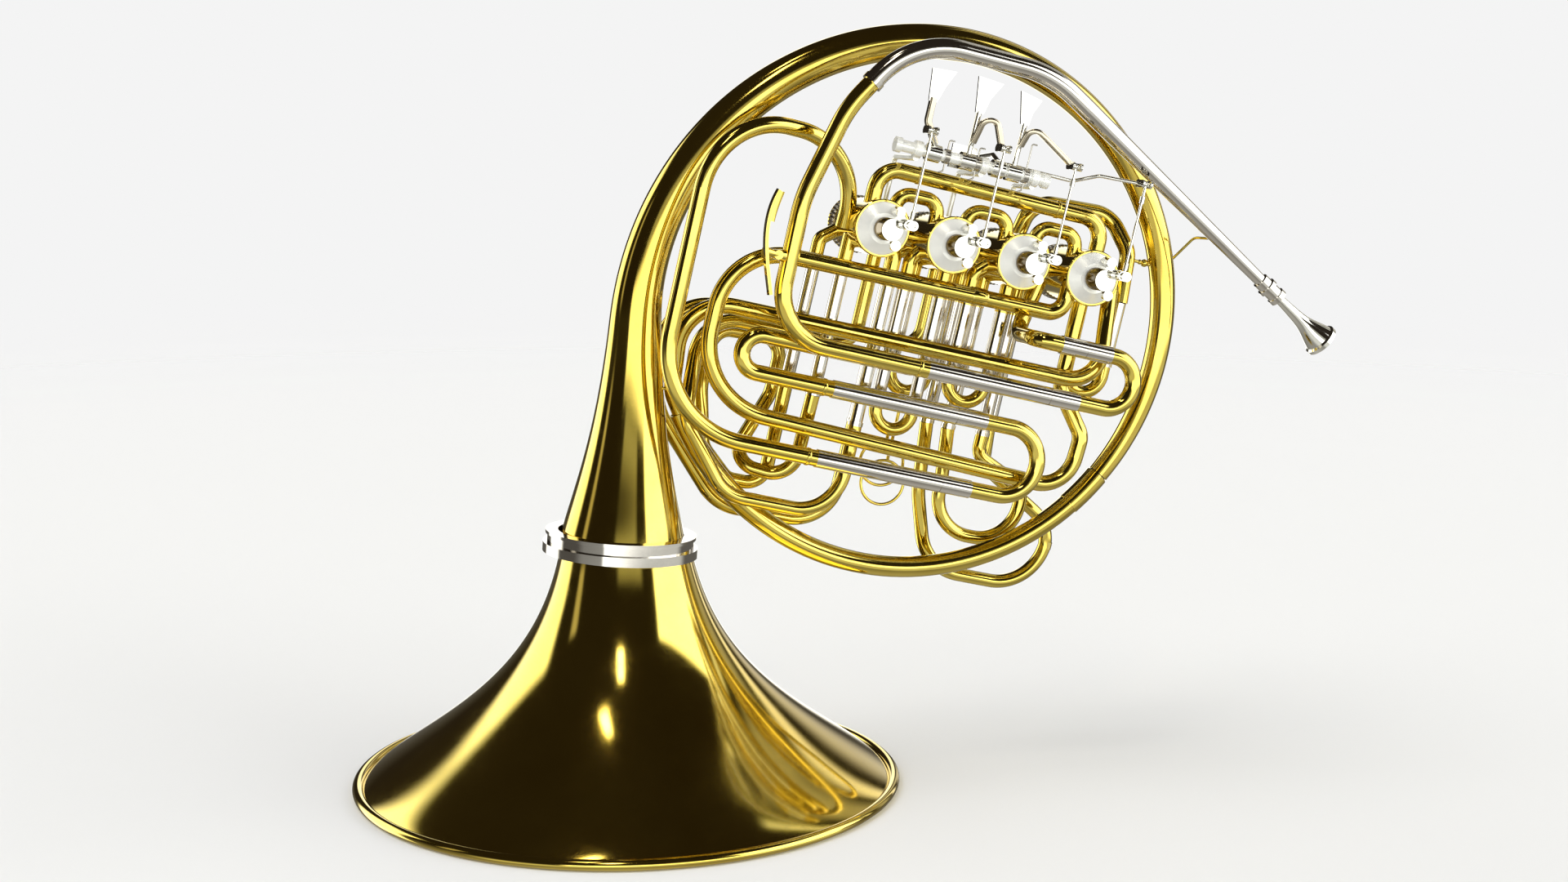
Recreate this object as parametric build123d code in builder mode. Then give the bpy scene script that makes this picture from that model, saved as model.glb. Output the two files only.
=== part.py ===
from build123d import *
import os
from math import cos, exp, pi, radians, sin

os.makedirs("parts", exist_ok=True)

# Driving dimensions, millimetres. +X is to the right, +Y to the back, +Z up.
# The bell mouth stands on z = 0 with its centre at the origin.
RIM_R = 155.0          # bell rim radius at its outer edge
RIM_WIRE = 3.0         # rolled rim wire radius
FLARE_TOP = 134.0      # height where the flare meets the bell ring
SHEET = 0.8            # bell sheet thickness
WALL = 0.6             # tube wall
LOOP_R = 151.0         # centreline radius of the big outer loop
LOOP_X, LOOP_Z = 172.5, 265.8
TAIL_R = 166.0         # centreline radius of the left half of the bell tail
BOW_D = 12.4           # outer bow tube diameter
TUBE_D = 9.4           # slide and branch tube diameter
SLIM_D = 8.2           # valve slide tube diameter
LEAD_D = 11.0          # leadpipe diameter
PITCH = 43.1           # distance between neighbouring valves
TILT = 13.5            # slope of the valve row and of the slides, degrees
CASE_R = 15.6          # valve casing radius
ROTOR_R = 13.0         # rotor radius
BORE_GAP = 0.06        # running clearance, radial
SLIDE_GAP = 0.08       # slide leg clearance, radial
CASE_BACK, CASE_FRONT = -24.0, 26.0
STUB_R, STUB_END = 6.0, 47.0
LINK_U, LINK_V = 6.5, 4.5          # link pin, from the valve axis
SHAFT_V, SHAFT_W, SHAFT_R = 46.0, 42.0, 3.2
ROD_W, ROD_TOP = 55.0, 57.0
PULL_R = 13.0          # pull ring radius

VALVES = [PITCH * i for i in range(4)]

# The corpus frame: u runs along the valve row, v up across it, w towards the front.
corpus = Plane(origin=(141.2, 0, 313.7), x_dir=(cos(radians(TILT)), 0, -sin(radians(TILT))),
               z_dir=(0, -1, 0))


def at(u, v, w=0.0):
    return corpus.from_local_coords(Vector(u, v, w))


def along(u, v, w):
    return at(u, v, w) - at(0, 0, 0)


def save(body, label):
    body.part.label = label
    export_step(body.part, f"parts/{label}.step")


def line_of(points, bend):
    spots = [at(*p) for p in points]
    return Line(*spots) if len(spots) == 2 else FilletPolyline(*spots, radius=bend)


def pipe(points, bend, outer, wall=WALL):
    """A tube, or a rod when wall is 0, along straight runs and arcs in the corpus frame."""
    with BuildLine() as run:
        line_of(points, bend)
    with BuildSketch(Plane(origin=run.wire() @ 0, z_dir=run.wire() % 0)) as cut:
        Circle(outer / 2)
        if wall:
            Circle(outer / 2 - wall, mode=Mode.SUBTRACT)
    sweep(sections=cut.sketch, path=run.wire())


def tube(label, points, bend, outer, wall=WALL, into=()):
    """One tube; into lists the valve positions whose casings it is soldered to."""
    with BuildPart() as body:
        pipe(points, bend, outer, wall)
        for u in into:
            clear_valve(u)
    save(body, label)


def drum(u, v, w0, w1, radius, mode=Mode.ADD):
    """A round body with its axis towards the front."""
    with BuildSketch(Plane(origin=at(u, v, w0), z_dir=along(0, 0, 1), x_dir=along(1, 0, 0))) as disc:
        Circle(radius)
    extrude(disc.sketch, amount=w1 - w0, mode=mode)


def spun(u, v, profile, mode=Mode.ADD):
    """A body turned about a valve axis, from (radius, w) corners."""
    centre = at(u, v)
    with BuildSketch(Plane(origin=centre, x_dir=along(1, 0, 0), z_dir=-along(0, 1, 0))) as half:
        with BuildLine():
            Polyline(*profile, close=True)
        make_face()
    revolve(half.sketch, axis=Axis(centre, along(0, 0, 1)), mode=mode)


def clear_valve(u):
    """Cut a tube back to the outside of a valve, where it is soldered on."""
    spun(u, 0, [(0, -33), (16.62, -33), (16.62, -15), (CASE_R, -15), (CASE_R, CASE_FRONT),
                (16.22, CASE_FRONT), (16.22, 34), (0, 34)], Mode.SUBTRACT)


def cone(p0, p1, r0, r1):
    axis = at(*p1) - at(*p0)
    with BuildSketch(Plane(origin=at(*p0), z_dir=axis)) as low:
        Circle(r0)
    with BuildSketch(Plane(origin=at(*p1), z_dir=axis)) as high:
        Circle(r1)
    loft(sections=[low.sketch, high.sketch])


def ring_wire(u, v, w, radius, wire):
    centre = Plane(origin=at(u, v, w), x_dir=along(1, 0, 0), z_dir=along(0, 0, 1))
    with BuildLine(centre) as loop:
        CenterArc((0, 0), radius, 0, 360)
    with BuildSketch(Plane(origin=loop.wire() @ 0, z_dir=loop.wire() % 0)) as cut:
        Circle(wire)
    sweep(sections=cut.sketch, path=loop.wire())


# ---- bell ------------------------------------------------------------------------------
def flare_radius(z):
    return 29 + (RIM_R - 31.5) * exp(-((z / 62) ** 1.31))


heights = [FLARE_TOP * i / 16 for i in range(17)]
with BuildPart() as bell_flare:
    with BuildSketch(Plane.XZ):
        with BuildLine():
            outside = Spline(*[(flare_radius(z), z) for z in heights])
            inside = Spline(*[(flare_radius(z) - SHEET * (1 + 0.5 * (1 - z / FLARE_TOP)), z)
                              for z in heights])
            Line(outside @ 0, inside @ 0)
            Line(outside @ 1, inside @ 1)
        make_face()
    revolve(axis=Axis.Z)
save(bell_flare, "bell_flare")

with BuildPart() as bell_rim_wire:
    with BuildSketch(Plane.XZ):
        with Locations((RIM_R - RIM_WIRE, RIM_WIRE)):
            Circle(RIM_WIRE)
        with Locations((RIM_R - RIM_WIRE, 0.6)):
            Rectangle(4.0, 1.2)
    revolve(axis=Axis.Z)
save(bell_rim_wire, "bell_rim_wire")

ring_seat = Plane(origin=(-3, 0, 136), x_dir=(cos(radians(4)), 0, -sin(radians(4))),
                  z_dir=(sin(radians(4)), 0, cos(radians(4))))
with BuildPart() as bell_ring_lower:
    with BuildSketch(ring_seat):
        Circle(43.6)
        Circle(41.6, mode=Mode.SUBTRACT)
    extrude(amount=-3.6)
    with BuildSketch(ring_seat):
        Circle(43.6)
        Circle(37.2, mode=Mode.SUBTRACT)
    extrude(amount=1.6)
save(bell_ring_lower, "bell_ring_lower")

with BuildPart() as bell_ring_upper:
    with BuildSketch(ring_seat.offset(1.6)):
        Circle(41.2)
        Circle(36.6, mode=Mode.SUBTRACT)
    extrude(amount=5)
    with BuildSketch(ring_seat.offset(6.6)):
        Circle(42.4)
        Circle(35.4, mode=Mode.SUBTRACT)
    extrude(amount=1.8)
save(bell_ring_upper, "bell_ring_upper")


# ---- bell tail: a tapered branch over the top and down the right side ---------------------
TAIL_LEAN = 4.0
top_x = LOOP_X
top_z = LOOP_Z + LOOP_R
lean = radians(TAIL_LEAN)
with BuildLine() as tail_path:
    arc_c = Vector(top_x, 0, top_z - TAIL_R)
    start = arc_c + Vector(-cos(lean) * TAIL_R, 0, sin(lean) * TAIL_R)
    foot = start + Vector(-sin(lean), 0, -cos(lean)) * 128
    Line(foot, start)
    half = radians(90 + TAIL_LEAN) / 2 + lean
    ThreePointArc(start, arc_c + Vector(-cos(half), 0, sin(half)) * TAIL_R, Vector(top_x, 0, top_z))
    hub = Vector(top_x, 0, LOOP_Z)
    ThreePointArc(Vector(top_x, 0, top_z), hub + Vector(cos(radians(24)), 0, sin(radians(24))) * LOOP_R,
                  hub + Vector(cos(radians(-42)), 0, sin(radians(-42))) * LOOP_R)


def tail_radius(s):
    return 13.8 - 0.0105 * s + 22 * exp(-((s / 68) ** 1.35))


tail = tail_path.wire()
marks = [0, 14, 28, 42, 56, 72, 90, 110, 131, 160, 200, 250, 310, 378, 440, 500, 560, 620, 680]
marks = [m for m in marks if m < tail.length - 30] + [tail.length]


def tail_body(inset):
    rings = []
    for s in marks:
        with BuildSketch(Plane(origin=tail @ (s / tail.length), z_dir=tail % (s / tail.length),
                               x_dir=(0, 1, 0))) as ring:
            Circle(tail_radius(s) - inset)
        rings.append(ring.sketch)
    return Solid.make_loft([r.face().outer_wire() for r in rings])


with BuildPart() as bell_tail:
    add(tail_body(0) - tail_body(SHEET))
save(bell_tail, "bell_tail")


def loop_arc(a0, a1, outer, wall):
    with BuildLine() as run:
        middle = (a0 + a1) / 2
        ThreePointArc(*[Vector(LOOP_X + cos(radians(a)) * LOOP_R, 0, LOOP_Z + sin(radians(a)) * LOOP_R)
                        for a in (a0, middle, a1)])
    with BuildSketch(Plane(origin=run.wire() @ 0, z_dir=run.wire() % 0)) as cut:
        Circle(outer / 2)
        Circle(outer / 2 - wall, mode=Mode.SUBTRACT)
    sweep(sections=cut.sketch, path=run.wire())


BOW_END = -158.6
with BuildPart() as outer_bow:
    loop_arc(-42.2, BOW_END, BOW_D, WALL)
save(outer_bow, "outer_bow")


with BuildPart() as outer_ferrule:
    loop_arc(-42.4, -51.6, BOW_D + 1.0, 0.5)
save(outer_ferrule, "outer_ferrule")

# ---- leadpipe and mouthpiece -----------------------------------------------------------
LEAD_W = 45.0
LEAD_V = -70.5
mouth_dir = Vector(0.8802, -0.4746, 0)


def on_lead(d):
    """A point on the line of the straight leadpipe, d past its small end."""
    return (236 + mouth_dir.X * d, 14 + mouth_dir.Y * d, LEAD_W)


tube("leadpipe_lower", [(-29, 76, LEAD_W), (-40, 58.4, LEAD_W), (-53, 6, LEAD_W),
                        (-52, LEAD_V, LEAD_W), (39, LEAD_V, LEAD_W)],
     [70, 70, 30], LEAD_D - 1.0)
with BuildPart() as leadpipe:
    pipe([(-29, 76, LEAD_W), (-12, 103.3, LEAD_W), on_lead(-188.5), on_lead(-159)], [52, 70], LEAD_D)
    pipe([(-30.2, 74, LEAD_W), (-28.4, 76.9, LEAD_W)], 0, LEAD_D + 1.2, 1.05)
    with BuildPart(mode=Mode.PRIVATE) as taper:
        cone(on_lead(-159), on_lead(0), LEAD_D / 2, 3.5)
    with BuildPart(mode=Mode.PRIVATE) as bore:
        cone(on_lead(-159), on_lead(0), LEAD_D / 2 - WALL, 3.5 - WALL)
    add(taper.part - bore.part)
save(leadpipe, "leadpipe")

with BuildPart() as mouthpiece_receiver:
    pipe([on_lead(-14), on_lead(2)], 0, 9.4, 1.2)
    pipe([on_lead(-9), on_lead(-6.5)], 0, 11.4, 1.0)
    pipe([on_lead(-1), on_lead(2)], 0, 10.8, 0.7)
save(mouthpiece_receiver, "mouthpiece_receiver")

mouth_profile = [(2.4, -10), (2.8, 3), (3.4, 14), (4.6, 24), (7.4, 33), (8.8, 37.4)]
mouth_plane = Plane(origin=at(*on_lead(0)), z_dir=along(mouth_dir.X, mouth_dir.Y, 0),
                    x_dir=along(0, 0, 1))
with BuildPart() as mouthpiece:
    with BuildSketch(Plane(origin=mouth_plane.origin, x_dir=mouth_plane.x_dir,
                           z_dir=-mouth_plane.y_dir)):
        with BuildLine():
            skin = Spline(*mouth_profile)
            lip = Polyline(skin @ 1, (10.1, 38.4), (10.1, 40.6), (8.6, 41.4), (7.2, 40.2))
            cup = Spline(lip @ 1, (5.6, 33), (2.2, 25.5), (1.7, 20), tangents=((-0.3, -1), (-0.1, -1)))
            Polyline(cup @ 1, (1.7, -10), skin @ 0)
        make_face()
    revolve(axis=Axis(mouth_plane.origin, mouth_plane.z_dir))
save(mouthpiece, "mouthpiece")

# ---- main tuning slide ------------------------------------------------------------------
MAIN_TOP = -40.5
SLEEVE_D = 10.4
LEG_D = SLEEVE_D - 1.4 - 2 * SLIDE_GAP
with BuildPart() as main_slide_sleeves:
    pipe([(39, LEAD_V, LEAD_W), (113, LEAD_V, LEAD_W)], 0, SLEEVE_D, 0.7)
    pipe([(113, MAIN_TOP, LEAD_W), (128, MAIN_TOP, LEAD_W)], 0, SLEEVE_D, 0.7)
save(main_slide_sleeves, "main_slide_sleeves")


def slide_legs(legs, w, joint, spigot, end):
    """Nickel legs of a slide: a collar as wide as the sleeve and a spigot inside it."""
    for v in legs:
        pipe([(joint + 0.4, v, w), (end, v, w)], 0, SLEEVE_D, 1.1)
        pipe([(joint + 0.3 - spigot, v, w), (joint + 2, v, w)], 0, LEG_D, 0.6)


with BuildPart() as main_slide_collars:
    slide_legs([LEAD_V], LEAD_W, 113, 45, 131)
    slide_legs([MAIN_TOP], LEAD_W, 128, 13, 144)
    pipe([(129, MAIN_TOP, LEAD_W), (131, MAIN_TOP, LEAD_W)], 0, LEG_D, 0.6)
save(main_slide_collars, "main_slide_collars")
half_main = (MAIN_TOP - LEAD_V) / 2
tube("main_slide_bow", [(131, LEAD_V, LEAD_W), (147 + half_main, LEAD_V, LEAD_W),
                        (147 + half_main, MAIN_TOP, LEAD_W), (144, MAIN_TOP, LEAD_W)],
     half_main - 0.01, TUBE_D)
tube("main_slide_crook", [(113, MAIN_TOP, LEAD_W), (98, MAIN_TOP, LEAD_W), (100, MAIN_TOP, 8),
                          (106, -8, 8)], [8, 9], TUBE_D)

# ---- lower tuning slide, first loop and return bow ----------------------------------------
LOW_W, LOW_V, HIGH_V = 34.0, -132.3, -92.7
with BuildPart() as low_slide_sleeves:
    for v in (LOW_V, HIGH_V):
        pipe([(-9, v, LOW_W), (65.5, v, LOW_W)], 0, SLEEVE_D, 0.7)
save(low_slide_sleeves, "low_slide_sleeves")
with BuildPart() as low_slide_collars:
    slide_legs([LOW_V, HIGH_V], LOW_W, 65.5, 50, 84)
save(low_slide_collars, "low_slide_collars")
half_low = (HIGH_V - LOW_V) / 2
tube("low_slide_bow", [(84, LOW_V, LOW_W), (101 + half_low, LOW_V, LOW_W),
                       (101 + half_low, HIGH_V, LOW_W), (84, HIGH_V, LOW_W)],
     half_low - 0.01, TUBE_D)
tube("first_loop", [(-17, -4, 10), (-18, 42, 18), (-106.5, 42, 34), (-105, LOW_V, LOW_W),
                    (-9, LOW_V, LOW_W)], [42, 43, 52], TUBE_D, into=VALVES[:1])
tube("return_bow", [(-9, HIGH_V, LOW_W), (-64, HIGH_V, LOW_W), (-64, -71.7, LOW_W), (34, -71.7, LOW_W)],
     10.45, TUBE_D)

# ---- wide loop, bell branch, long loops and inner coil -------------------------------------
MID_W = 22.0
tube("wide_loop", [(119, -4, MID_W), (119, -24.5, MID_W), (-81, -27, MID_W), (-81, -115.5, MID_W),
                   (147, -122.5, MID_W), (148.5, -90, MID_W), (131, -66, 16.5), (131, -10, 15.5)],
     [10, 36, 42, 20, 12, 12], TUBE_D, into=VALVES[2:])
bow_tip = corpus.to_local_coords(Vector(LOOP_X + LOOP_R * cos(radians(BOW_END)), 0,
                                        LOOP_Z + LOOP_R * sin(radians(BOW_END))))
turn = radians(BOW_END + TILT)
bow_lead = (bow_tip.X + 13 * sin(turn), bow_tip.Y - 13 * cos(turn), 0)
tube("bell_branch", [(146, -2, 18), (147.5, -59, 30), (-97, -61, 9), bow_lead,
                     (bow_tip.X, bow_tip.Y, 0)], [20, 26, 16], TUBE_D, into=VALVES[3:])
tube("long_loop_front", [(9, -8, -3), (9, -68, -3), (-82, -69, -3), (-82, -127, 12.5),
                         (-50, -165, 12.5), (17, -165, 11), (17, -112, 9)],
     [12, 24, 24, 24, 26], SLIM_D, into=VALVES[:1])
tube("long_loop_rear", [(54, -8, -23), (54, -62, -23), (-101, -64, -23), (-94, -126, -15.5),
                        (-46, -175, -15.5), (23, -174, -15), (23, -112, -13)],
     [12, 28, 40, 30, 26], SLIM_D, into=VALVES[1:3])
with BuildPart() as inner_coil:
    pipe([(-11, -100, 7.5), (-11, -150, 4), (-47, -148, -6), (-27, -106, -23), (-27, -92, -23)],
         [15, 12, 16], SLIM_D)
    pipe([(-27, -92, -23), (-27, -74, -23), (-69, -76, -21), (-70, -110, -16), (-62, -143, -13),
          (-44, -158.5, -13), (-22, -158.5, -13), (-22, -100, -13)],
         [12, 12, 30, 14, 10, 12], SLIM_D)
save(inner_coil, "inner_coil")

# ---- tubes over the valves ------------------------------------------------------------------
tube("upper_tube", [(-5, 10, 14), (-5, 33.5, 14), (133.5, 33.5, 14), (133.5, 10, 14)], 12.5, TUBE_D,
     into=(VALVES[0], VALVES[3]))
tube("rear_upper_tube", [(92, 8, -11), (98, 36, -11), (147, 39, -10), (159.5, 20, 0), (160, -10, 4)],
     [16, 16, 14], TUBE_D, into=VALVES[2:])
with BuildPart() as valve_arches:
    for u in VALVES[:3]:
        pipe([(u + 9, 8, 14), (u + 9, 22, 14), (u + 34, 22, 14), (u + 34, 8, 14)], 8, SLIM_D)
        pipe([(u + CASE_R - 2, 0, -4), (u + PITCH - CASE_R + 2, 0, -4)], 0, 12.0, 1.0)
    for u in VALVES:
        clear_valve(u)
save(valve_arches, "valve_arches")

# ---- valve slides ------------------------------------------------------------------------------
SLIDE_D = 7.8
SPIGOT_D = SLIDE_D - 1.0 - 2 * SLIDE_GAP


def sleeve(u, w, top, end):
    pipe([(u, top, w), (u, end, w)], 0, SLIDE_D, 0.5)
    pipe([(u, end + 2.5, w), (u, end, w)], 0, SLIDE_D + 1.0, 0.5)


# left leg, right leg, depth, sleeve end and bottom of the bow of each pull-out slide
SLIDES = {
    "second_slide_front": (27, 49, 8, -96, -110),
    "second_slide_rear": (37, 59, -11.7, -74, -88),
    "third_slide_front": (66, 88, 8, -72, -86),
    "fourth_slide": (136, 160, 4, -48, -66),
}
# fixed legs of the long valve loops: position, depth and lower end
LEGS = [(-11, 7.5, -100), (-22, -13, -100), (17, 9, -112), (23, -13, -112),
        (80, -12, -104), (102, -12, -104), (71, -25, -104), (110, -25, -100)]
SLEEVE_TOP = -31.0
# leg position, where it enters a valve, and depth
ELBOWS = [(-11, -8, 7.5), (-22, -9, -13), (17, 8, 9), (23, 34, -13), (27, 35, 8), (49, 48, 8),
          (37, 38, -11.7), (59, 51, -11.7), (66, 77, 8), (88, 88, 8), (80, 80, -12), (102, 94, -12),
          (71, 79, -25), (110, 121, -25), (136, 136, 4)]
with BuildPart() as valve_slide_sleeves:
    for u0, u1, w, end, _ in SLIDES.values():
        for u in (u0, u1):
            sleeve(u, w, SLEEVE_TOP if u < 160 else -10, end)
    for u, w, end in LEGS:
        sleeve(u, w, SLEEVE_TOP, end)
save(valve_slide_sleeves, "valve_slide_sleeves")
with BuildPart() as valve_elbows:
    for u, port, w in ELBOWS:
        if abs(u - port) < 4:
            pipe([(u, SLEEVE_TOP, w), (u, -7, w)], 0, SLIM_D)
        else:
            pipe([(u, SLEEVE_TOP, w), (u, -13, w), (port, -3, w)], 5, SLIM_D)
    for u in VALVES:
        clear_valve(u)
save(valve_elbows, "valve_elbows")


def slide_bow(u0, u1, w, end, bottom, ring):
    mid = (u0 + u1) / 2
    pipe([(u0, end - 0.4, w), (u0, bottom, w), (u1, bottom, w), (u1, end - 0.4, w)],
         (u1 - u0) / 2 - 0.01, SLIDE_D)
    for u in (u0, u1):
        pipe([(u, end - 2, w), (u, end + 18, w)], 0, SPIGOT_D, 0.5)
        pipe([(u, end - 2, w), (u, end - 0.6, w)], 0, SLIDE_D - 0.4, 0.9)
    if ring:
        pipe([(mid, bottom - SLIDE_D / 2 + 0.8, w), (mid, bottom - ring, w)], 0, 2.0, 0)
        ring_wire(mid, bottom - ring - PULL_R, w, PULL_R, 0.9)


for label, (u0, u1, w, end, bottom) in SLIDES.items():
    with BuildPart() as bow:
        slide_bow(u0, u1, w, end, bottom, {"second_slide_front": 7, "second_slide_rear": 42}.get(label, 0))
    save(bow, label)

tube("third_slide_inner", [(80, -104, -12), (84, -135, -13), (86, -164.5, -14), (136, -164.5, -14),
                           (136, -130, -14), (102, -116, -12), (102, -104, -12)],
     [40, 24, 24, 14, 8], SLIM_D)
tube("third_slide_outer", [(71, -104, -25), (76, -145, -26), (92, -190, -27), (164, -190, -27),
                           (164, -150, -27), (112, -122, -25), (110, -100, -25)],
     [60, 30, 30, 24, 12], SLIM_D)

# ---- valves: casing, cap, rim, cover, rotor and stops -------------------------------------------
with BuildPart() as valve_casings:
    for u in VALVES:
        drum(u, 0, CASE_BACK, CASE_FRONT, CASE_R)
        drum(u, 0, CASE_BACK + 4, CASE_FRONT, ROTOR_R + BORE_GAP, mode=Mode.SUBTRACT)
save(valve_casings, "valve_casings")


with BuildPart() as valve_back_caps:
    for u in VALVES:
        spun(u, 0, [(0, -33), (9, -32), (14.2, -29), (16.6, -25), (16.6, -15), (CASE_R, -15),
                    (CASE_R, CASE_BACK - 0.05), (0, CASE_BACK - 0.05)])
save(valve_back_caps, "valve_back_caps")
with BuildPart() as valve_rims:
    for u in VALVES:
        spun(u, 0, [(14.8, CASE_FRONT), (16.2, CASE_FRONT), (16.2, 28.4), (15.6, 29), (14.8, 29)])
save(valve_rims, "valve_rims")
with BuildPart() as valve_covers:
    for u in VALVES:
        spun(u, 0, [(STUB_R + 0.15, CASE_FRONT), (14.8, CASE_FRONT), (14.8, 28.6), (8.6, 32.2),
                    (STUB_R + 0.15, 32.2)])
save(valve_covers, "valve_covers")
with BuildPart() as valve_bumpers:
    for u in VALVES:
        drum(u + 4.4, 10.6, 30.6, 40, 2.9)
save(valve_bumpers, "valve_bumpers")

for number, u in enumerate(VALVES, 1):
    with BuildPart() as rotor:
        drum(u, 0, CASE_BACK + 4.2, CASE_FRONT - 0.4, ROTOR_R)
        drum(u, 0, CASE_BACK + 4.2, CASE_FRONT - 3.4, 4.6, mode=Mode.SUBTRACT)
        for side in (-1, 1):
            for w in (-12, 12):
                with BuildSketch(Plane(origin=at(u + side * 13, -15, w), z_dir=along(0, 1, 0))):
                    Circle(7)
                extrude(amount=30, mode=Mode.SUBTRACT)
        drum(u, 0, CASE_FRONT - 0.4, STUB_END, STUB_R)
        drum(u + 4, -8, 43, STUB_END - 0.5, 2.9)
        drum(u + LINK_U, LINK_V, 43.5, 50, 2.9)
        drum(u + LINK_U, LINK_V, 50, ROD_W + 2.2, 1.2)
        drum(u + LINK_U, LINK_V, ROD_W + 1.4, ROD_W + 2.6, 2.0)
    save(rotor, f"rotor_{number}")

# ---- lever shaft, posts and springs -------------------------------------------------------------
with BuildPart() as lever_shaft:
    pipe([(-6, SHAFT_V, SHAFT_W), (81, SHAFT_V, SHAFT_W)], 0, 2 * SHAFT_R, 1.0)
    for u in (-8.5, 80):
        pipe([(u, SHAFT_V, SHAFT_W), (u + 3.5, SHAFT_V, SHAFT_W)], 0, 8.4, 0)
save(lever_shaft, "lever_shaft")
with BuildPart() as shaft_posts:
    for u, w, foot in ((5, 5, 15.65), (44, 5, 15.65), (75, 14, 38.2)):
        pipe([(u - 2, SHAFT_V, SHAFT_W), (u + 2, SHAFT_V, SHAFT_W)], 0, 9.4, 1.5)
        pipe([(u, SHAFT_V - 4.9, SHAFT_W), (u, SHAFT_V - 4.9, w), (u, foot, w)], 2.5, 3.0, 0)
save(shaft_posts, "shaft_posts")
with BuildPart() as lever_springs:
    for u, top in ((22, 55), (40.2, 55), (69.5, 64)):
        pipe([(u - 1.4, SHAFT_V, SHAFT_W), (u + 1.4, SHAFT_V, SHAFT_W)], 0, 8.0, 0.8)
        pipe([(u, SHAFT_V + 3.6, SHAFT_W), (u, top, SHAFT_W), (u + 3, top, SHAFT_W)], 1, 0.9, 0)
        pipe([(u, SHAFT_V - 3.6, SHAFT_W), (u, 38, SHAFT_W), (u - 3, 36.5, SHAFT_W + 2)], 1, 0.9, 0)
save(lever_springs, "lever_springs")

# ---- finger levers, thumb lever and link rods -----------------------------------------------------
FORK_GAP, FORK_T = 3.4, 1.3


def hub(u0, u1):
    with BuildSketch(Plane(origin=at(u0, SHAFT_V, SHAFT_W), z_dir=along(1, 0, 0))) as ring:
        Circle(4.8)
        Circle(SHAFT_R + BORE_GAP, mode=Mode.SUBTRACT)
    extrude(ring.sketch, amount=u1 - u0)


def fork(u):
    """Two rounded prongs either side of a link rod, joined behind it."""
    for side in (-1, 1):
        inner = u + side * (FORK_GAP / 2 + FORK_T / 2)
        for w in (49.6, ROD_W + 1.0):
            with BuildSketch(Plane(origin=at(inner - FORK_T / 2, ROD_TOP, w),
                                   z_dir=along(1, 0, 0))) as tip:
                Circle(2.2)
            extrude(tip.sketch, amount=FORK_T)
        with BuildSketch(Plane(origin=at(inner - FORK_T / 2, ROD_TOP, (50.6 + ROD_W) / 2),
                               x_dir=along(0, 0, 1), z_dir=along(1, 0, 0))) as prong:
            Rectangle(ROD_W - 48.6, 4.2)
        extrude(prong.sketch, amount=FORK_T)
    pipe([(u - FORK_GAP / 2 - FORK_T, ROD_TOP, 49.4), (u + FORK_GAP / 2 + FORK_T, ROD_TOP, 49.4)],
         0, 3.2, 0)


def paddle(outline, w=43.2, thick=1.7):
    with BuildSketch(Plane(origin=at(0, 0, w), x_dir=along(1, 0, 0), z_dir=along(0, 0, 1))) as plate:
        with BuildLine():
            Polyline(*outline, close=True)
        make_face()
    extrude(plate.sketch, amount=thick)


rods = [u + LINK_U for u in VALVES]
with BuildPart() as finger_lever_1:
    hub(10, 18)
    paddle([(2, 90.5), (16, 91.5), (11.5, 82), (8.6, 73), (4, 73)])
    pipe([(6.3, 74, 44), (6.3, 62, 44), (14, 50, 43)], 6, 3.0, 0)
    pipe([(14, 50, 44), (8, 56.5, 49.4), (rods[0], ROD_TOP, 49.4)], 1.5, 2.6, 0)
    fork(rods[0])
save(finger_lever_1, "finger_lever_1")
with BuildPart() as finger_lever_2:
    hub(30, 38)
    paddle([(29, 92.5), (44, 91.5), (38.5, 82), (36.4, 73), (31.8, 73)])
    pipe([(34, 74, 44), (34, 50, 43)], 0, 3.0, 0)
    pipe([(34, 55, 44), (36, 71, 49.4), (44, 70, 49.4), (rods[1], ROD_TOP, 49.4)], [5, 4], 2.6, 0)
    fork(rods[1])
save(finger_lever_2, "finger_lever_2")
with BuildPart() as finger_lever_3:
    hub(58, 66)
    paddle([(55, 90.5), (68, 88), (64.4, 80), (63.6, 73), (59, 73)])
    pipe([(61.5, 74, 44), (61.5, 50, 43)], 0, 3.0, 0)
    pipe([(61.5, 60, 44), (64, 73, 49.4), (74, 68, 49.4), (rods[2], ROD_TOP, 49.4)], [5, 8], 2.6, 0)
    fork(rods[2])
save(finger_lever_3, "finger_lever_3")
with BuildPart() as thumb_lever:
    hub(49, 56)
    pipe([(52.5, 49.5, 39), (56, 50, 36), (100, 50, 36), (112, 56, 44), (rods[3], ROD_TOP, 49.4)],
         [2, 6, 6], 2.0, 0)
    fork(rods[3])
    pipe([(52.5, 50.4, 41), (52.5, 54, 30), (52.5, 50, -18)], 5, 2.6, 0)
    paddle([(45, 44), (60, 44), (60, 58), (45, 58)], w=-20, thick=1.8)
save(thumb_lever, "thumb_lever")

for number, u in enumerate(rods, 1):
    with BuildPart() as rod:
        pipe([(u, ROD_TOP, ROD_W), (u, LINK_V + 2.4, ROD_W)], 0, 1.5, 0)
        for v in (50, 12):
            pipe([(u, v, ROD_W), (u, v - 4, ROD_W)], 0, 2.8, 0)
        with Locations(at(u, ROD_TOP, ROD_W)):
            Sphere(1.4)
        with BuildSketch(Plane(origin=at(u + 0.7, LINK_V, ROD_W - 0.8), x_dir=along(1, 0, 0),
                               z_dir=along(0, 0, 1))):
            SlotOverall(7.8, 5.4)
            SlotOverall(5.0, 3.2, mode=Mode.SUBTRACT)
        extrude(amount=1.6)
    save(rod, f"link_rod_{number}")

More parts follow.
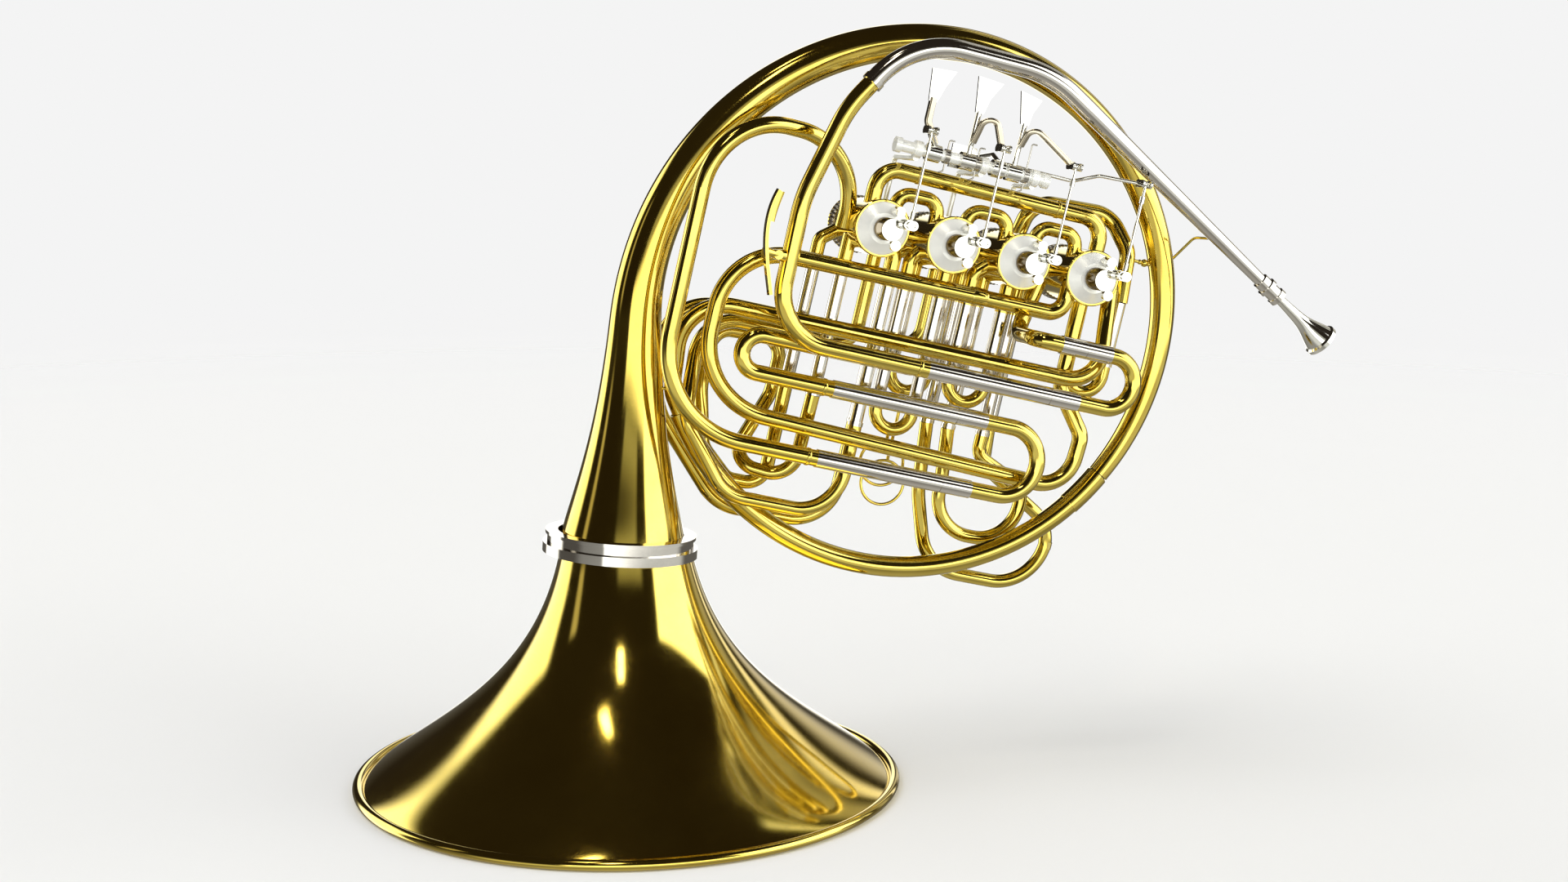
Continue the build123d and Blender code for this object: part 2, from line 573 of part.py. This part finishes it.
# ---- finger hook and braces ------------------------------------------------------------------------
with BuildPart() as finger_hook:
    with BuildLine() as blade:
        Spline(at(-69, 7, 53), at(-71, -12, 52), at(-68, -28, 52), at(-61, -49, 53))
    hook_path = blade.wire()
    with BuildSketch(Plane(origin=hook_path @ 0, z_dir=hook_path % 0, x_dir=along(0, 0, 1))) as cut:
        Rectangle(6.0, 1.8)
    sweep(sections=cut.sketch, path=hook_path)
    cone((-68.6, -27, 51), (-57, -27, 47.6), 1.6, 3.4)
save(finger_hook, "finger_hook")
with BuildPart() as turned_brace:
    pipe([(163.6, 16, 0), (177, 16, 0)], 0, 2.0, 0)
    with Locations(at(171, 16, 0)):
        Sphere(2.3)
    for u in (168, 174):
        with Locations(at(u, 16, 0)):
            Sphere(1.5)
save(turned_brace, "turned_brace")
with BuildPart() as wire_brace:
    pipe([(187.8, 22, 0), (194, 37, 9), (201, 39, 34), (202, 30, 42)], 6, 1.6, 0)
save(wire_brace, "wire_brace")
with BuildPart() as arch_brace:
    pipe([(-100, -124, 6), (-100, -114, 4), (-88.4, -114, 4), (-88.4, -119.5, 3)], 4, 1.6, 0)
save(arch_brace, "arch_brace")
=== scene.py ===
from math import cos, exp, pi, radians, sin, tan

import bmesh
import bpy
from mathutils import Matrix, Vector


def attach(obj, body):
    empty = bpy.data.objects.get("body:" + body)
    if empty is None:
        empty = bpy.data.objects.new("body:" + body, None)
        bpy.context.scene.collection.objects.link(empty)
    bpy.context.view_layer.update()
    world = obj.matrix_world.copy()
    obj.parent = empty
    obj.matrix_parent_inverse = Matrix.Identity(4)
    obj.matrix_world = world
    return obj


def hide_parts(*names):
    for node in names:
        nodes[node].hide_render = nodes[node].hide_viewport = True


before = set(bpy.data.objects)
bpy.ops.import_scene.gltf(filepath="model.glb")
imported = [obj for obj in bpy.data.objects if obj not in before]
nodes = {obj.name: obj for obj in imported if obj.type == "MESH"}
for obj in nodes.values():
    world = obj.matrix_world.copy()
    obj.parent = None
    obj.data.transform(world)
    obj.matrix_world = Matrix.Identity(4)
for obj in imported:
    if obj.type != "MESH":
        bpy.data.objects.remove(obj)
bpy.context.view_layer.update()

# The corpus frame of the instrument, as its valve row slopes: U along the row,
# V up across it and W towards the front. Metres.
MM = 0.001
TILT = radians(13.5)
PITCH = 43.1
U = Vector((cos(TILT), 0, -sin(TILT)))
V = Vector((sin(TILT), 0, cos(TILT)))
W = Vector((0, -1, 0))
VALVE_COUNT = 4


# ---- material trees ------------------------------------------------------------------
class Tree:
    """A short way to write a material's nodes, in object coordinates."""

    def __init__(self, name):
        self.material = bpy.data.materials.new(name)
        self.material.use_nodes = True
        self.nodes = self.material.node_tree.nodes
        self.links = self.material.node_tree.links
        self.shader = self.nodes["Principled BSDF"]
        self.place = self.nodes.new("ShaderNodeTexCoord").outputs["Object"]

    def plug(self, value, socket):
        if isinstance(value, bpy.types.NodeSocket):
            self.links.new(value, socket)
        else:
            socket.default_value = value

    def add(self, kind, inputs=None, **settings):
        node = self.nodes.new("ShaderNode" + kind)
        for key, value in settings.items():
            setattr(node, key, value)
        for key, value in (inputs or {}).items():
            self.plug(value, node.inputs[key])
        return node

    def noise(self, scale, detail=4.0, rough=0.55, stretch=None, distortion=0.0):
        vector = self.place
        if stretch:
            vector = self.add("Mapping", {"Vector": vector, "Scale": stretch}).outputs["Vector"]
        return self.add("TexNoise", {"Vector": vector, "Scale": scale, "Detail": detail,
                                     "Roughness": rough, "Distortion": distortion}).outputs["Fac"]

    def span(self, source, low, high, to_low, to_high):
        return self.add("MapRange", {"Value": source, "From Min": low, "From Max": high,
                                     "To Min": to_low, "To Max": to_high}).outputs["Result"]

    def math(self, operation, a, b):
        return self.add("Math", {0: a, 1: b}, operation=operation).outputs[0]

    def mix(self, factor, a, b):
        node = self.add("Mix", data_type="RGBA")
        self.plug(factor, node.inputs[0])
        for socket, colour in ((node.inputs[6], a), (node.inputs[7], b)):
            self.plug(colour if isinstance(colour, bpy.types.NodeSocket) else (*colour, 1), socket)
        return node.outputs[2]

    def bump(self, height, strength, distance, normal=None):
        node = self.add("Bump", {"Height": height, "Strength": strength, "Distance": distance})
        if normal:
            self.links.new(normal, node.inputs["Normal"])
        return node.outputs["Normal"]

    def edges(self, radius):
        """1 along the edges that wear, 0 on open surface."""
        soft = self.add("Bevel", {"Radius": radius}, samples=3).outputs["Normal"]
        sharp = self.add("NewGeometry").outputs["Normal"]
        facing = self.add("VectorMath", {0: soft, 1: sharp}, operation="DOT_PRODUCT")
        return self.span(facing.outputs["Value"], 0.99, 0.85, 0.0, 1.0)

    def finish(self, colour, roughness, normal, **sockets):
        self.links.new(colour, self.shader.inputs["Base Color"])
        self.links.new(roughness, self.shader.inputs["Roughness"])
        self.links.new(normal, self.shader.inputs["Normal"])
        for key, value in sockets.items():
            self.shader.inputs[key.replace("_", " ")].default_value = value
        return self.material


def polished(name, bright, deep, worn, rough, wave, coat, metal=1.0):
    """Polished sheet: slow colour drift, hairlines, finger marks and bright worn edges."""
    t = Tree(name)
    drift = t.span(t.noise(13, 4, 0.6, distortion=0.5), 0.36, 0.66, 0.0, 1.0)
    cloud = t.span(t.noise(48, 5, 0.65), 0.48, 0.72, 0.0, 1.0)
    prints = t.span(t.noise(380, 3, 0.5, distortion=2.0), 0.38, 0.7, 0.25, 1.0)
    hair = t.noise(240, 2, 0.7, stretch=(1, 8, 26))
    colour = t.mix(drift, bright, deep)
    colour = t.mix(t.math("MULTIPLY", t.edges(0.0006), 0.55), colour, worn)
    smudge = t.math("MULTIPLY", cloud, prints)
    roughness = t.math("ADD", t.span(smudge, 0.0, 1.0, rough, rough + 0.07),
                       t.span(hair, 0.56, 0.8, 0.0, 0.04))
    normal = t.bump(t.noise(24, 2, 0.4), wave, 0.002)
    normal = t.bump(hair, 0.03, 0.0001, normal)
    return t.finish(colour, roughness, normal, Metallic=metal, Coat_Weight=coat,
                    Coat_Roughness=0.02, Coat_IOR=1.5)


def knurled_steel(name):
    """Oil-darkened metal of the knurled cap rings."""
    t = Tree(name)
    grime = t.span(t.noise(260, 5, 0.6), 0.42, 0.66, 0.0, 1.0)
    colour = t.mix(grime, (0.32, 0.27, 0.2), (0.06, 0.045, 0.03))
    colour = t.mix(t.math("MULTIPLY", t.edges(0.0004), 0.8), colour, (0.7, 0.66, 0.56))
    roughness = t.span(grime, 0.0, 1.0, 0.2, 0.42)
    normal = t.bump(t.noise(1500, 3, 0.6), 0.12, 0.0001)
    return t.finish(colour, roughness, normal, Metallic=1.0)


BRASS = polished("lacquered_brass_tube", (0.81, 0.635, 0.125), (0.70, 0.525, 0.085),
                 (0.96, 0.78, 0.3), 0.075, 0.02, 0.55)
BELL_BRASS = polished("lacquered_brass_bell", (0.81, 0.615, 0.115), (0.69, 0.50, 0.075),
                      (0.96, 0.78, 0.3), 0.085, 0.055, 0.6)
NICKEL = polished("nickel_silver", (0.80, 0.775, 0.74), (0.70, 0.665, 0.62),
                  (0.92, 0.9, 0.86), 0.085, 0.006, 0.0)
SILVER = polished("silver_plate", (0.93, 0.925, 0.89), (0.86, 0.85, 0.79),
                  (0.98, 0.97, 0.94), 0.075, 0.005, 0.0)
SATIN = polished("satin_silver", (0.95, 0.955, 0.92), (0.9, 0.905, 0.86),
                 (0.98, 0.98, 0.95), 0.3, 0.01, 0.15, metal=0.45)
SPRING = polished("spring_wire", (0.66, 0.64, 0.6), (0.5, 0.47, 0.42),
                  (0.85, 0.83, 0.8), 0.2, 0.01, 0.0)
# painted shade and painted reflection: this dark brown stands in for the shadow by each valve cover
# and the dark room seen in the rotor stub's side
NECK = polished("painted_shade_neck", (0.30, 0.25, 0.19), (0.16, 0.12, 0.08),
                (0.7, 0.66, 0.58), 0.16, 0.008, 0.0)
# painted reflection: the brownish tint stands in for the brass and the dark room that the silver
# lever arms reflect; the lighter edges are wear
ARM_SILVER = polished("arm_silver_wear_and_painted_reflection", (0.64, 0.58, 0.47), (0.46, 0.38, 0.27),
                      (0.9, 0.88, 0.8), 0.1, 0.006, 0.0)
KNURL = knurled_steel("knurled_cap_ring")

NICKEL_NODES = ("bell_ring_lower", "bell_ring_upper", "leadpipe", "mouthpiece_receiver",
                "main_slide_sleeves", "main_slide_collars", "low_slide_sleeves",
                "low_slide_collars", "valve_slide_sleeves")
SATIN_NODES = ("valve_covers", "lever_shaft", "shaft_posts")
SILVER_NODES = ("mouthpiece", "valve_bumpers",
                "thumb_lever", "finger_lever_1", "finger_lever_2", "finger_lever_3",
                "rotor_1", "rotor_2", "rotor_3", "rotor_4",
                "link_rod_1", "link_rod_2", "link_rod_3", "link_rod_4")
BELL_NODES = ("bell_flare", "bell_tail", "bell_rim_wire")


def dress(thing, material):
    thing.data.materials.clear()
    thing.data.materials.append(material)


for name, node in nodes.items():
    if name in NICKEL_NODES:
        dress(node, NICKEL)
    elif name in SATIN_NODES:
        dress(node, SATIN)
    elif name in SILVER_NODES:
        dress(node, SILVER)
    elif name in BELL_NODES:
        dress(node, BELL_BRASS)
    elif name == "lever_springs":
        dress(node, SPRING)
    else:
        dress(node, BRASS)


# ---- smooth skins for the bell: the flare, its rim wire and the tapered tail -----------------
RIM_R = 155.0
FLARE_TOP = 134.0
SHEET = 0.8
LOOP_X, LOOP_Z, LOOP_R = 172.5, 265.8, 151.0
TAIL_R, TAIL_LEAN, TAIL_FOOT = 166.0, 4.0, 128.0


def mesh_piece(name, rings, material, stands_for=(), body="corpus",
               capped=False):
    """Rings of points, in mm, joined into one skin: closed on itself, or capped at its ends."""
    count = len(rings[0])
    verts = [tuple(MM * c for c in point) for ring in rings for point in ring]
    faces = []
    for i in range(len(rings) - capped):
        here, there = i * count, (i + 1) % len(rings) * count
        for k in range(count):
            nxt = (k + 1) % count
            faces.append((here + k, here + nxt, there + nxt, there + k))
    if capped:
        faces += [tuple(range(count)), tuple(range(len(verts) - count, len(verts)))]
    mesh = bpy.data.meshes.new(name)
    mesh.from_pydata(verts, [], faces)
    mesh.validate()
    shell = bmesh.new()
    shell.from_mesh(mesh)
    bmesh.ops.recalc_face_normals(shell, faces=shell.faces)
    shell.to_mesh(mesh)
    shell.free()
    piece = bpy.data.objects.new(name, mesh)
    bpy.context.scene.collection.objects.link(piece)
    mesh.shade_smooth()
    mesh.set_sharp_from_angle(angle=radians(50))
    dress(piece, material)
    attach(piece, body)
    for node in stands_for:
        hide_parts(node)
    return piece


def turned(profile, sides):
    """Rings about the bell axis from (radius, height) points."""
    spokes = [(cos(2 * pi * k / sides), sin(2 * pi * k / sides)) for k in range(sides)]
    return [[(r * x, r * y, z) for x, y in spokes] for r, z in profile]


def flare_radius(z):
    return 29 + (RIM_R - 31.5) * exp(-((z / 62) ** 1.31))


def flare_profile(steps):
    """Up the outside of the flare and down its inside."""
    heights = [FLARE_TOP * (i / steps) ** 1.25 for i in range(steps + 1)]
    outside = [(flare_radius(z), z) for z in heights]
    inside = [(flare_radius(z) - SHEET * (1.5 - 0.5 * z / FLARE_TOP), z) for z in heights]
    return outside + inside[::-1]


def tail_place(s):
    """Centre and direction of the tail's axis in the XZ plane, s along it from its foot."""
    lean = radians(TAIL_LEAN)
    heart = (LOOP_X, LOOP_Z + LOOP_R - TAIL_R)
    start = (heart[0] - cos(lean) * TAIL_R, heart[1] + sin(lean) * TAIL_R)
    first = TAIL_R * (pi / 2 - lean)
    if s < TAIL_FOOT:
        back = TAIL_FOOT - s
        return (start[0] - sin(lean) * back, start[1] - cos(lean) * back), (sin(lean), cos(lean))
    if s < TAIL_FOOT + first:
        angle = pi - lean - (s - TAIL_FOOT) / TAIL_R
        centre, radius = heart, TAIL_R
    else:
        angle = pi / 2 - (s - TAIL_FOOT - first) / LOOP_R
        centre, radius = (LOOP_X, LOOP_Z), LOOP_R
    point = (centre[0] + cos(angle) * radius, centre[1] + sin(angle) * radius)
    return point, (sin(angle), -cos(angle))


TAIL_LENGTH = TAIL_FOOT + TAIL_R * (pi / 2 - radians(TAIL_LEAN)) + LOOP_R * radians(90 + 42)


def tail_radius(s):
    return 13.8 - 0.0105 * s + 22 * exp(-((s / 68) ** 1.35))


def tail_ring(s, inset, sides):
    (x, z), (dx, dz) = tail_place(s)
    radius = tail_radius(s) - inset
    ring = []
    for k in range(sides):
        across, up = cos(2 * pi * k / sides) * radius, sin(2 * pi * k / sides) * radius
        ring.append((x + dz * across, up, z - dx * across))
    return ring


def bell():
    mesh_piece("bell_flare_skin", turned(flare_profile(90), 288), BELL_BRASS,
               stands_for=["bell_flare"])
    wire = [(RIM_R - 3 + 3 * cos(2 * pi * k / 28), 3 + 3 * sin(2 * pi * k / 28)) for k in range(28)]
    mesh_piece("bell_rim_wire_skin", turned(wire, 288), BELL_BRASS,
               stands_for=["bell_rim_wire"])
    steps = [TAIL_LENGTH * i / 240 for i in range(241)]
    outside = [tail_ring(s, 0, 72) for s in steps]
    inside = [tail_ring(s, SHEET, 72) for s in reversed(steps)]
    mesh_piece("bell_tail_skin", outside + inside, BELL_BRASS, stands_for=["bell_tail"])


bell()


# ---- valve caps: a domed brass end inside a dark knurled grip ------------------------------------
CORPUS = Vector((141.2, 0, 313.7))


def valve_centres():
    """The valve axes in mm, on the plane of the row."""
    return [CORPUS + U * (PITCH * k) for k in range(VALVE_COUNT)]


def around(centre, angle, radius, depth):
    """A point about a valve's axis, in mm."""
    return tuple(centre + U * (cos(angle) * radius) + V * (sin(angle) * radius) + W * depth)


def valve_caps():
    """A spun dome for each valve, and the knurled ring that unscrews it."""
    teeth, steps = 44, 4
    sides = teeth * steps
    profile = [(15.62, -15.0, 0.0), (15.9, -15.0, 0.0), (16.2, -15.4, 1.0), (16.2, -24.6, 1.0),
               (15.9, -25.0, 0.0), (15.62, -25.0, 0.0)]
    slopes = [pi / 2 * k / 14 for k in range(15)]
    dome = [(0.04 + 16.3 * sin(t), -25.1 - 7.85 * cos(t)) for t in slopes] + [(15.6, -24.9)]
    dome += [(15.6, -15.1), (14.9, -15.1), (14.9, -24.9)]
    dome += [(0.04 + 14.9 * sin(t), -25.1 - 6.9 * cos(t)) for t in reversed(slopes)]
    for number, centre in enumerate(valve_centres(), 1):
        shell = [[around(centre, 2 * pi * k / 64, radius, depth) for k in range(64)]
                 for radius, depth in dome]
        mesh_piece(f"cap_dome_{number}", shell, BRASS, stands_for=["valve_back_caps"])
        rings = []
        for radius, depth, tooth in profile:
            wave = [tooth * 0.4 * cos(2 * pi * k / steps) for k in range(sides)]
            rings.append([around(centre, 2 * pi * k / sides, radius + wave[k], depth)
                          for k in range(sides)])
        mesh_piece(f"cap_grip_{number}", rings, KNURL)


valve_caps()


# ---- small fittings: the finger hook, lever arms, rotor necks and solder bands ------------------
def place(u, v, w):
    """A point of the corpus frame, in mm."""
    return CORPUS + U * u + V * v + W * w


def spun_fitting(name, centre, axis, profile):
    """A turned brass fitting from (radius, distance along its axis) points, in mm."""
    side = axis.cross(V if abs(axis.dot(W)) > 0.9 else W).normalized()
    front = axis.cross(side).normalized()
    rings = [[tuple(centre + axis * along + side * (r * cos(2 * pi * k / 48))
                    + front * (r * sin(2 * pi * k / 48))) for k in range(48)]
             for r, along in profile]
    mesh_piece(name, rings, BRASS)


def hook_fittings():
    """The flange folded along the top of the finger hook, and its boss and post."""
    path = [(-68.6 - 1.9 * sin(pi * t / 16), 6.4 - 2.1 * t) for t in range(9)]
    section = [(0, 0.35), (0.3, 0), (3.2, 0), (3.6, 0.4), (3.6, 0.8), (3.2, 1.2), (0.3, 1.2),
               (0, 0.85)]
    rings = [[tuple(place(u + x, v, 49.6 + z)) for x, z in section] for u, v in path]
    mesh_piece("finger_hook_flange", rings, BRASS, capped=True)
    spun_fitting("finger_hook_boss", place(-69.0, -27, 51), (U - W * 0.2).normalized(),
                 [(0.05, 0), (3.5, 0), (3.3, 0.6), (2.5, 3.2), (2.0, 6.4), (2.0, 7.4), (0.05, 7.4)])
    spun_fitting("finger_hook_post", place(-60.6, -27, 46.2), W,
                 [(0.05, 0), (2.7, 0), (2.7, 4.9), (2.5, 5.2), (0.05, 5.3)])


def band(name, centre, axis, radius, width):
    """A rounded solder band around a straight tube; radius is the tube's own."""
    lip = [(0.02, -0.5), (0.32, -0.42), (0.42, -0.2), (0.42, 0.2), (0.32, 0.42), (0.02, 0.5)]
    spun_fitting(name, centre, axis, [(radius + rise, width * part) for rise, part in lip])


def arm_route(points, bends):
    """Straight runs between corpus-frame points, with an arc at each corner, in mm."""
    spots = [place(*p) for p in points]
    route = [spots[0]]
    for before, corner, after, bend in zip(spots, spots[1:], spots[2:], bends):
        one, two = (before - corner).normalized(), (after - corner).normalized()
        half = one.angle(two) / 2
        centre = corner + (one + two).normalized() * (bend / sin(half))
        start = (corner + one * (bend / tan(half)) - centre).normalized()
        stop = (corner + two * (bend / tan(half)) - centre).normalized()
        route += [centre + start.slerp(stop, k / 10) * bend for k in range(11)]
    return route + [spots[-1]]


def flat_arm(name, points, bends, thick, width, body):
    """A flat forged arm with rounded edges, its width towards the front."""
    route = arm_route(points, bends)
    rings = []
    for i, spot in enumerate(route):
        ahead = (route[min(i + 1, len(route) - 1)] - route[max(i - 1, 0)]).normalized()
        side = ahead.cross(W).normalized()
        broad = side.cross(ahead).normalized()
        ring = []
        for k in range(24):
            c, s = cos(2 * pi * k / 24), sin(2 * pi * k / 24)
            across = abs(c) ** 0.35 * (1 if c > 0 else -1) * thick / 2
            out = abs(s) ** 0.35 * (1 if s > 0 else -1) * width / 2
            ring.append(tuple(spot + side * across + broad * out))
        rings.append(ring)
    mesh_piece(name, rings, ARM_SILVER, body=body, capped=True)


def rotor_necks():
    """A dark collar round each rotor's stub, in front of its cover: painted shade and painted dark
    reflection on the stub's side.
    """
    profile = [(6.02, 32.6), (6.3, 32.6), (6.4, 33.0), (6.4, 34.0), (6.2, 34.3), (6.2, 46.3),
               (6.02, 46.5)]
    for number, centre in enumerate(valve_centres(), 1):
        rings = [[around(centre, 2 * pi * k / 64, radius, depth) for k in range(64)]
                 for radius, depth in profile]
        mesh_piece(f"rotor_neck_{number}", rings, NECK,
                   body=f"rotor_{number}")


hook_fittings()
rotor_necks()
# the depth of the arms, the height of the forks and the link pins' distance from the valve axes
ARM_W, ROD_TOP, LINK_U = 49.4, 57.0, 6.5
flat_arm("lever_arm_1", [(6.3, 75, 44), (6.3, 62, 44), (13.4, 51, 43.1)],
         [6], 3.3, 5.4, "finger_lever_1")
flat_arm("lever_arm_2", [(34.3, 57, 44.6), (36, 71, ARM_W), (44, 70, ARM_W),
                         (PITCH + LINK_U - 0.6, ROD_TOP + 1.4, ARM_W)],
         [5, 4], 3.0, 5.0, "finger_lever_2")
flat_arm("lever_arm_3", [(61.8, 61.6, 44.8), (64, 73, ARM_W), (74, 68, ARM_W),
                         (2 * PITCH + LINK_U - 1.6, ROD_TOP + 1.0, ARM_W)],
         [5, 8], 3.0, 5.0, "finger_lever_3")
# a place in the corpus frame, the tube's radius and the band's width
for number, (u, v, w, radius, width) in enumerate((
        (67, -24.96, 22, 4.7, 9.0), (18, 33.5, 14, 4.7, 2.0), (104, 33.5, 14, 4.7, 2.0),
        (34, -70.5, 45, 5.0, 2.2), (-14, -92.7, 34, 4.7, 2.2), (-14, -132.3, 34, 4.7, 2.2)), 1):
    band(f"solder_band_{number}", place(u, v, w), U, radius, width)


# ---- studio: soft boxes seen only as reflections, and a pale seamless floor ----------------
PAPER = 0.905


def studio_world():
    world = bpy.data.worlds.new("studio")
    bpy.context.scene.world = world
    world.use_nodes = True
    tree = world.node_tree
    tree.nodes.clear()

    def add(kind, *values, **settings):
        node = tree.nodes.new("ShaderNode" + kind)
        for key, value in settings.items():
            setattr(node, key, value)
        for socket, value in zip(node.inputs, values):
            if isinstance(value, bpy.types.NodeSocket):
                tree.links.new(value, socket)
            else:
                socket.default_value = value
        return node

    def math(operation, *values):
        return add("Math", *values, operation=operation).outputs[0]

    axes = add("SeparateXYZ", add("TexCoord").outputs["Generated"]).outputs
    azimuth = math("ARCTAN2", axes["X"], math("MULTIPLY", axes["Y"], -1.0))
    height = math("ARCSINE", axes["Z"])

    def edge(value, at, soft):
        return add("MapRange", value, at - soft, at + soft, 0.0, 1.0,
                   interpolation_type="SMOOTHSTEP").outputs["Result"]

    def window(value, low, high, soft):
        rise = edge(value, radians(low), radians(soft))
        fall = edge(value, radians(high), radians(soft))
        return math("SUBTRACT", rise, fall)

    # azimuth from, to (0 is the front, + is to the right), height from, to, softness, colour
    boxes = (
        (-75, 95, -34, -10, 8.0, (0.72, 0.72, 0.66)),
        (-36, 84, -11, 8, 2.5, (2.3, 2.3, 2.15)),
        (36, 98, 4, 38, 2.5, (3.0, 3.0, 2.85)),
        (-24, 16, 9, 17, 4.0, (0.45, 0.45, 0.38)),
        (-150, -114, -30, 34, 4.0, (2.2, 2.2, 2.0)),
        (-92, -84, 8, 30, 2.5, (0.6, 0.56, 0.45)),
        (102, 106, 0, 58, 1.5, (1.1, 1.1, 0.98)),
        (113, 124, -6, 60, 4.0, (0.5, 0.48, 0.4)),
        (129, 134, -6, 52, 2.0, (1.4, 1.35, 1.2)),
        (141, 150, -10, 44, 4.0, (0.7, 0.67, 0.6)),
        (158, 177, -25, 26, 3.0, (1.6, 1.6, 1.5)),
        (-24, -15, 46, 60, 2.5, (8.0, 7.4, 6.0)),
        (-58, -44, 70, 78, 2.5, (10.0, 9.0, 7.0)),
    )
    below = add("MapRange", height, radians(-90), radians(8), 1.0, 0.0).outputs["Result"]
    base = add("Mix", below, data_type="RGBA")
    base.inputs[6].default_value = (0.022, 0.017, 0.012, 1)
    base.inputs[7].default_value = (0.52, 0.5, 0.44, 1)
    total = base.outputs[2]
    for az0, az1, el0, el1, soft, colour in boxes:
        mask = math("MULTIPLY", window(azimuth, az0, az1, soft), window(height, el0, el1, soft))
        light = add("Mix", mask, data_type="RGBA")
        tree.links.new(total, light.inputs[6])
        light.inputs[7].default_value = (*colour, 1)
        total = light.outputs[2]
    room = tree.nodes.new("ShaderNodeBackground")
    tree.links.new(total, room.inputs["Color"])
    paper = tree.nodes.new("ShaderNodeBackground")
    paper.inputs["Color"].default_value = (PAPER, PAPER, PAPER, 1)
    seen = tree.nodes.new("ShaderNodeLightPath")
    both = tree.nodes.new("ShaderNodeMixShader")
    tree.links.new(seen.outputs["Is Camera Ray"], both.inputs[0])
    tree.links.new(room.outputs[0], both.inputs[1])
    tree.links.new(paper.outputs[0], both.inputs[2])
    out = tree.nodes.new("ShaderNodeOutputWorld")
    tree.links.new(both.outputs[0], out.inputs["Surface"])
    world.cycles.sampling_method = "MANUAL"
    world.cycles.sample_map_resolution = 1024


def floor():
    """A pale plane that fades out before its edge."""
    size, fade_from, fade_to = 3.2, 0.7, 3.1
    mesh = bpy.data.meshes.new("floor")
    mesh.from_pydata([(-size, -size, 0), (size, -size, 0), (size, size, 0), (-size, size, 0)],
                     [], [(0, 1, 2, 3)])
    ground = bpy.data.objects.new("floor", mesh)
    bpy.context.scene.collection.objects.link(ground)
    t = Tree("floor_paper")
    grain = t.noise(700, 3, 0.6)
    t.finish(t.mix(grain, (0.80, 0.80, 0.80), (0.815, 0.815, 0.815)),
             t.span(grain, 0.0, 1.0, 0.75, 0.9), t.bump(grain, 0.05, 0.0002),
             Specular_IOR_Level=0.0)
    reach = t.add("VectorMath", {0: t.place}, operation="LENGTH").outputs["Value"]
    fade = t.add("MapRange", {"Value": reach, "From Min": fade_from, "From Max": fade_to},
                 interpolation_type="SMOOTHSTEP").outputs["Result"]
    clear = t.add("BsdfTransparent").outputs[0]
    blend = t.add("MixShader", {0: fade, 1: t.shader.outputs[0], 2: clear})
    t.links.new(blend.outputs[0], t.nodes["Material Output"].inputs["Surface"])
    ground.data.materials.append(t.material)
    ground.visible_glossy = False
    return ground


def sun(name, towards, strength, spread, colour=(1.0, 1.0, 1.0), skips=None):
    """A soft sun that reflections don't show; skips is an object that it doesn't light."""
    light = bpy.data.lights.new(name, "SUN")
    light.energy = strength
    light.angle = radians(spread)
    light.color = colour
    lamp = bpy.data.objects.new(name, light)
    lamp.rotation_euler = Vector(towards).to_track_quat("-Z", "Y").to_euler()
    lamp.visible_glossy = False
    bpy.context.scene.collection.objects.link(lamp)
    if skips:
        group = bpy.data.collections.new(name + "_skips")
        group.objects.link(skips)
        group.collection_objects[0].light_linking.link_state = "EXCLUDE"
        lamp.light_linking.receiver_collection = group


studio_world()
ground = floor()
sun("key", (0.72, 0.06, -0.69), 0.5, 40)
sun("side", (0.45, 0.02, -0.89), 1.0, 46)
sun("fill", (0.0, 0.0, -1.0), 1.1, 170, (0.92, 0.95, 1.0))
sun("front", (0.35, 0.8, -0.5), 1.3, 60, skips=ground)

camera = bpy.data.objects.new("camera", bpy.data.cameras.new("camera"))
camera.location = (-0.2198, -1.1858, 0.381)
camera.rotation_euler = Vector((0.2515, 0.9558, -0.1523)).to_track_quat("-Z", "Y").to_euler()
camera.data.lens = 50
camera.data.sensor_width = 36
bpy.context.scene.collection.objects.link(camera)
bpy.context.scene.camera = camera
bpy.context.scene.view_settings.view_transform = "Standard"
